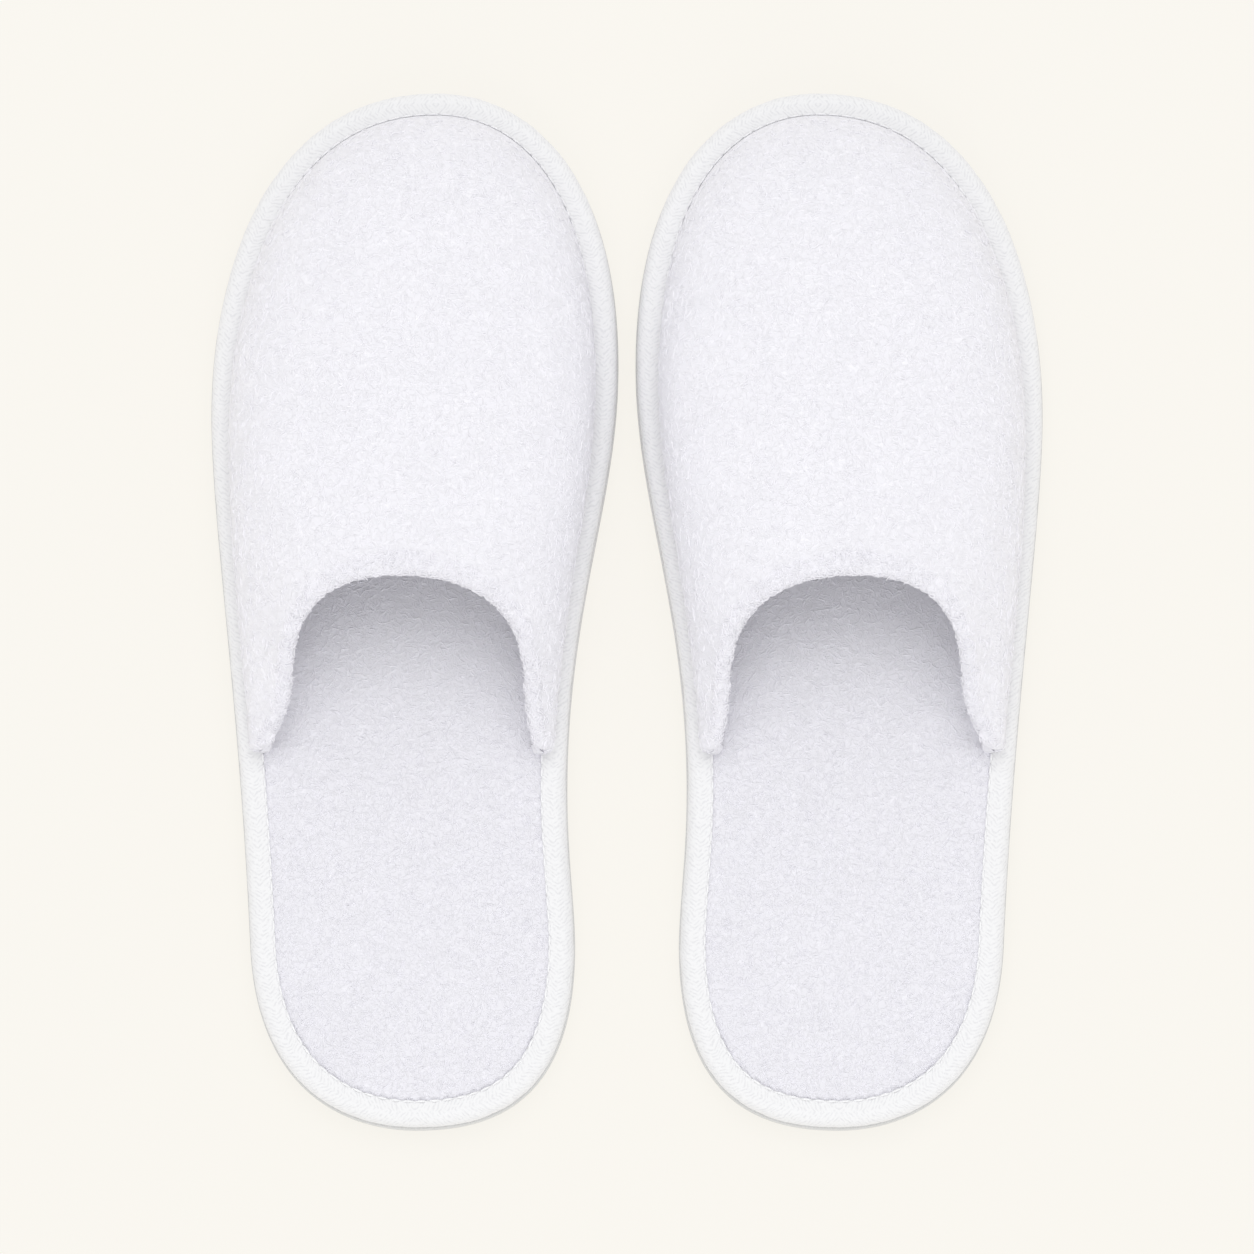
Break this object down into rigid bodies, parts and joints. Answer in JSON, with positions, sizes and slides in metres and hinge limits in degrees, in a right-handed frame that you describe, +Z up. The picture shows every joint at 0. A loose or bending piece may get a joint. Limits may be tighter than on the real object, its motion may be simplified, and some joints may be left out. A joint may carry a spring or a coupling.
{
  "type": "spa slippers",
  "caption": "Pair of closed-toe slip-on spa slippers: padded terry upper, terry footbed, folded edge binding and flat foam outsole.",
  "frame": {"origin": "on the floor, midway between the two slippers and midway along their length", "axes": "+Y towards the toes, +Z up, +X from the left slipper to the right one"},
  "size_m": [0.2312, 0.29, 0.05],
  "materials": {
    "upper_terry": "white cotton terry, looped pile",
    "footbed_terry": "white cotton terry, fine flat loops",
    "edge_binding": "white herringbone woven tape",
    "lining": "white brushed non-woven",
    "interlining": "soft white wadding",
    "thread": "white spun polyester thread",
    "insole_foam": "open-cell foam",
    "insole_board": "fibre board",
    "outsole": "moulded EVA foam, matte"
  },
  "bodies": {
    "left_slipper": {"left_outsole": "outsole", "left_insole_board": "insole_board", "left_insole_foam": "insole_foam", "left_footbed_terry": "footbed_terry", "left_edge_binding": "edge_binding", "left_binding_stitch": "thread", "left_upper_terry": "upper_terry", "left_upper_interlining": "interlining", "left_upper_lining": "lining", "left_hem_stitch": "thread"},
    "right_slipper": {"right_outsole": "outsole", "right_insole_board": "insole_board", "right_insole_foam": "insole_foam", "right_footbed_terry": "footbed_terry", "right_edge_binding": "edge_binding", "right_binding_stitch": "thread", "right_upper_terry": "upper_terry", "right_upper_interlining": "interlining", "right_upper_lining": "lining", "right_hem_stitch": "thread"}
  },
  "joints": [
    {"name": "right_slipper_lift", "type": "slide", "parent": "left_slipper", "child": "right_slipper", "axis": [0, 0, 1], "range_m": [0, 0.12]}
  ]
}
